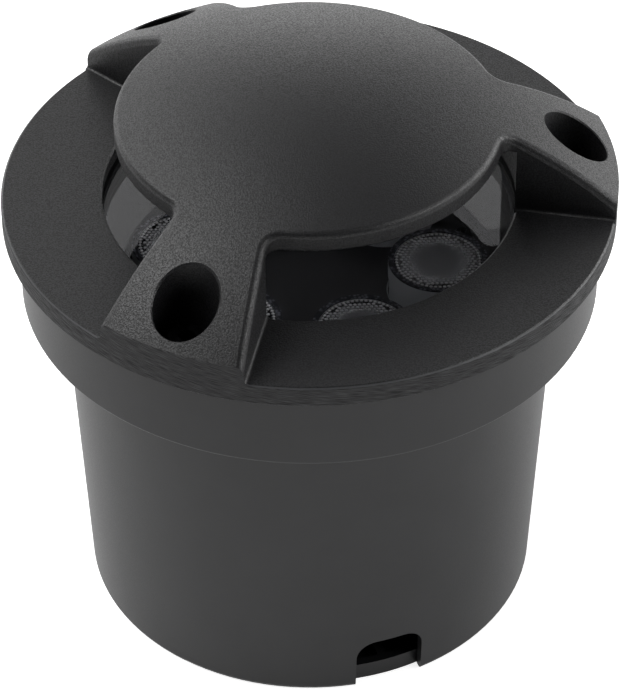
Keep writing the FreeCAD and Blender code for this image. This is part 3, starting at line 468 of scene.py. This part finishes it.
# ------------------------------------------------------------ collimators
def spun(name, profile, centre, sides):
    """Closed shape of revolution about a vertical axis, from (radius, height) corners in
    metres that start and end on the axis."""
    form = bmesh.new()
    rings = []
    for radius, height in profile:
        around = 1 if radius == 0 else sides
        rings.append([form.verts.new((centre[0] + radius * math.cos(2 * math.pi * k / sides),
                                      centre[1] + radius * math.sin(2 * math.pi * k / sides), height))
                      for k in range(around)])
    for one, two in zip(rings, rings[1:]):
        for k in range(sides):
            corners = [one[k % len(one)], one[(k + 1) % len(one)],
                       two[(k + 1) % len(two)], two[k % len(two)]]
            form.faces.new(list(dict.fromkeys(corners)))
    bmesh.ops.recalc_face_normals(form, faces=form.faces)
    mesh = bpy.data.meshes.new(name)
    form.to_mesh(mesh)
    form.free()
    return mesh


def field_input(tree, name, kind, value=None):
    """A named input of a Geometry Nodes tree."""
    socket = tree.interface.new_socket(name=name, in_out="INPUT", socket_type="NodeSocket" + kind)
    if value is not None:
        socket.default_value = value


def pebble_field():
    """Raises pebbles in a honeycomb on a lens's flat top, lower towards the middle, and a
    ring of scallops round them."""
    tree = bpy.data.node_groups.new("pebble field", "GeometryNodeTree")
    field_input(tree, "Lens", "Geometry")
    field_input(tree, "Centre", "Vector")
    field_input(tree, "Pitch", "Float", 1.2 * MM)
    field_input(tree, "Pebble Share", "Float", 0.55)  # a pebble's radius over the pitch
    field_input(tree, "Height", "Float", 0.3 * MM)
    field_input(tree, "Smooth Middle", "Float", 5.6 * MM)
    field_input(tree, "Fade", "Float", 3.0 * MM)
    field_input(tree, "Field Radius", "Float", 10.1 * MM)
    field_input(tree, "Ring Radius", "Float", 11.0 * MM)
    field_input(tree, "Ring Count", "Int", 58)
    field_input(tree, "Acrylic", "Material")
    tree.interface.new_socket(name="Lens", in_out="OUTPUT", socket_type="NodeSocketGeometry")
    given = add(tree, "NodeGroupInput").outputs
    centre, pitch = given["Centre"], given["Pitch"]

    # The pebbles' tips: a honeycomb, whose every other row is shifted by half the pitch, cut
    # round, and a ring round it.
    rows = 23  # enough to cover the field
    width = add(tree, "ShaderNodeMath", {0: pitch, 1: rows - 1.0}, operation="MULTIPLY")
    depth = add(tree, "ShaderNodeMath", {0: pitch, 1: (rows - 1) * math.sqrt(0.75)},
                operation="MULTIPLY")
    grid = add(tree, "GeometryNodeMeshGrid", {"Size X": width, "Size Y": depth,
                                              "Vertices X": rows, "Vertices Y": rows})
    row = add(tree, "ShaderNodeMath", {0: add(tree, "GeometryNodeInputIndex"), 1: rows},
              operation="MODULO")
    odd = add(tree, "ShaderNodeMath", {0: row, 1: 2.0}, operation="MODULO")
    half_pitch = add(tree, "ShaderNodeMath", {0: pitch, 1: 0.5}, operation="MULTIPLY")
    shift = add(tree, "ShaderNodeMath", {0: odd, 1: half_pitch}, operation="MULTIPLY")
    comb = add(tree, "GeometryNodeSetPosition", {
        "Geometry": grid, "Offset": add(tree, "ShaderNodeCombineXYZ", {"X": shift})})
    place = add(tree, "GeometryNodeInputPosition")
    from_middle = add(tree, "ShaderNodeVectorMath", {0: place}, operation="LENGTH")
    beyond = add(tree, "FunctionNodeCompare", {"A": from_middle, "B": given["Field Radius"]},
                 data_type="FLOAT", operation="GREATER_THAN")
    field = add(tree, "GeometryNodeDeleteGeometry", {"Geometry": comb, "Selection": beyond},
                domain="POINT")
    ring = add(tree, "GeometryNodeMeshCircle", {"Vertices": given["Ring Count"],
                                                "Radius": given["Ring Radius"]})
    tips = add(tree, "GeometryNodeJoinGeometry")
    wire(tree, tips, {"Geometry": field})
    wire(tree, tips, {"Geometry": ring})
    tips = add(tree, "GeometryNodeTransform", {"Geometry": tips, "Translation": centre})

    # Each point of the lens's top rises by its nearness to a tip, and less near the middle.
    reach = add(tree, "GeometryNodeProximity", {0: tips}, target_element="POINTS")
    pebble = add(tree, "ShaderNodeMath", {0: pitch, 1: given["Pebble Share"]},
                 operation="MULTIPLY")
    share = add(tree, "ShaderNodeMath", {0: reach.outputs["Distance"], 1: pebble},
                operation="DIVIDE")
    crown = add(tree, "ShaderNodeMath", {0: share, 1: share}, operation="MULTIPLY")
    crown = add(tree, "ShaderNodeMath", {0: 1.0, 1: crown}, operation="SUBTRACT",
                use_clamp=True)
    from_axis = add(tree, "ShaderNodeVectorMath", {0: place, 1: centre}, operation="DISTANCE")
    full = add(tree, "ShaderNodeMath", {0: given["Smooth Middle"], 1: given["Fade"]},
               operation="ADD")
    fade = add(tree, "ShaderNodeMapRange", {"Value": from_axis, "From Max": full,
                                            "From Min": given["Smooth Middle"]})
    level = add(tree, "ShaderNodeSeparateXYZ", {"Vector": place}).outputs["Z"]
    top = add(tree, "ShaderNodeSeparateXYZ", {"Vector": centre}).outputs["Z"]
    just_under = add(tree, "ShaderNodeMath", {0: top, 1: 0.01 * MM}, operation="SUBTRACT")
    on_top = add(tree, "FunctionNodeCompare", {"A": level, "B": just_under},
                 data_type="FLOAT", operation="GREATER_THAN")
    rise = add(tree, "ShaderNodeMath", {0: crown, 1: fade}, operation="MULTIPLY")
    rise = add(tree, "ShaderNodeMath", {0: given["Height"], 1: rise}, operation="MULTIPLY")
    lens = add(tree, "GeometryNodeSetPosition", {
        "Geometry": given["Lens"], "Selection": on_top,
        "Offset": add(tree, "ShaderNodeCombineXYZ", {"Z": rise})})
    # Keeps each point's crown, by which the acrylic paints a glint on the tips and shade in the gaps.
    lens = add(tree, "GeometryNodeStoreNamedAttribute", {
        "Geometry": lens, "Name": "crown", "Value": crown}, data_type="FLOAT", domain="POINT")
    lens = add(tree, "GeometryNodeRealizeInstances", {"Geometry": lens})
    lens = add(tree, "GeometryNodeSetMaterial", {"Geometry": lens, "Material": given["Acrylic"]})
    add(tree, "NodeGroupOutput", {0: lens})
    return tree


def grown(piece, tree, **values):
    """Runs a Geometry Nodes tree on a piece and keeps the result as its plain mesh."""
    growth = piece.modifiers.new("growth", "NODES")
    growth.node_group = tree
    sockets = {item.name: item.identifier for item in tree.interface.items_tree
               if item.in_out == "INPUT"}
    for name, value in values.items():
        growth[sockets[name]] = value
    finished = piece.evaluated_get(bpy.context.evaluated_depsgraph_get())
    mesh = bpy.data.meshes.new_from_object(finished)
    piece.modifiers.clear()
    piece.data = mesh
    piece.data.name = piece.name


def make_collimators(acrylic):
    """Six moulded lenses: a cone with a pocket for the LED under a pebbled face."""
    tree = pebble_field()
    for number in range(1, LENS_COUNT + 1):
        low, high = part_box(f"lens_{number}")
        x, y = (low[0] + high[0]) / 2, (low[1] + high[1]) / 2
        foot, top = low[2], high[2] + FACE_RISE
        face = [(FACE_STEP * k, top) for k in range(FACE_RINGS)]
        rim = [(LENS_R - LENS_BEVEL, top), (LENS_R, top - LENS_BEVEL), (LENS_R, top - LENS_RIM)]
        cone = [(CONE_R, top - LENS_RIM), (CONE_FOOT_R, foot)]
        pocket = [(POCKET_R, foot), (POCKET_TOP_R, foot + POCKET_WALL), (0, foot + POCKET_DEPTH)]
        lens = spun("collimator", face + rim + cone + pocket, (x, y), LENS_SIDES)
        piece = bpy.data.objects.new(f"collimator_{number}", lens)
        scene.collection.objects.link(piece)
        grown(piece, tree, Centre=(x, y, top), Acrylic=acrylic)
        piece.data.shade_smooth()
        piece.data.set_sharp_from_angle(angle=SHARP)
        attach(piece, "lamp")
        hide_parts(f"lens_{number}")


# ------------------------------------------------------------ dressing
def each(stem, count):
    """The names of numbered nodes."""
    return [f"{stem}_{k}" for k in range(1, count + 1)]


def dress():
    """Gives every piece what it is made of."""
    put(powder_coat(), "cover")
    put(moulded("polypropylene_moulded_black", "#151517", "#1b1b1d", (0.34, 0.42),
                **{"Sheen Weight": 0.1, "Sheen Roughness": 0.3}), "sleeve", "base_plate")
    put(toughened_glass(), "glass")
    put(lens_holder(), *each("lens_cup", LENS_COUNT))
    put(led_package(), *each("led", LENS_COUNT))
    put(circuit_board("solder_mask_black", "#17181a", "#26282a"), "led_board")
    put(circuit_board("solder_mask_green", "#0f4a2a", "#1d6a3d"), "driver_board")
    put(moulded("silicone_thermal_pad", "#6b7378", "#7d858a", (0.6, 0.75), 0.5, 0.05), "thermal_pad")
    put(metal("steel_black_oxide", "#0e0e0f", "#19191b", (0.35, 0.5)), "bezel_screws",
        *each("cover_screw", 3), *each("screw_washer", 3))
    put(bezel_sheet(), "bezel_plate")
    put(moulded("silicone_rubber_moulded", "#131314", "#1b1b1c", (0.55, 0.7)), "glass_gasket",
        "rear_gasket", "gland_washer", "gland_seal", "lead_grommet")
    put(moulded("nylon_moulded_black", "#18181a", "#222224", (0.35, 0.45)), "gland_body",
        "gland_locknut", "gland_nut", "vent_plug")
    put(metal("die_cast_aluminium_dark", "#36373a", "#3f4043", (0.46, 0.56), 1.2),
        "housing", "rear_cap")
    put(metal("steel_zinc_plated", "#b9bbbb", "#d8dada", (0.25, 0.4)), "base_plate_screws",
        "flange_screws", "board_screws", "driver_screws", "rear_cap_screws", "driver_standoffs")
    put(metal("brass_turned", "#b08d3c", "#d2b261", (0.2, 0.35)), "threaded_inserts")
    put(metal("capacitor_can_lacquered", "#22272e", "#2f363f", (0.3, 0.4)), "driver_capacitor")
    put(moulded("ferrite_and_epoxy_black", "#151516", "#202021", (0.4, 0.6), 0.2, 0.03),
        "driver_inductor", "driver_chip")
    put(moulded("polyamide_terminal_green", "#1d7a3f", "#25894a", (0.3, 0.4)), "terminal_block")
    put(moulded("pvc_insulation_red", "#8f1210", "#a51b17", (0.35, 0.45), 0.8), "lead_red")
    put(moulded("pvc_insulation_black", "#151516", "#1d1d1e", (0.35, 0.45), 0.8), "lead_black")
    make_collimators(clear_acrylic())


make_camera()
make_room()
make_floor()
dress()
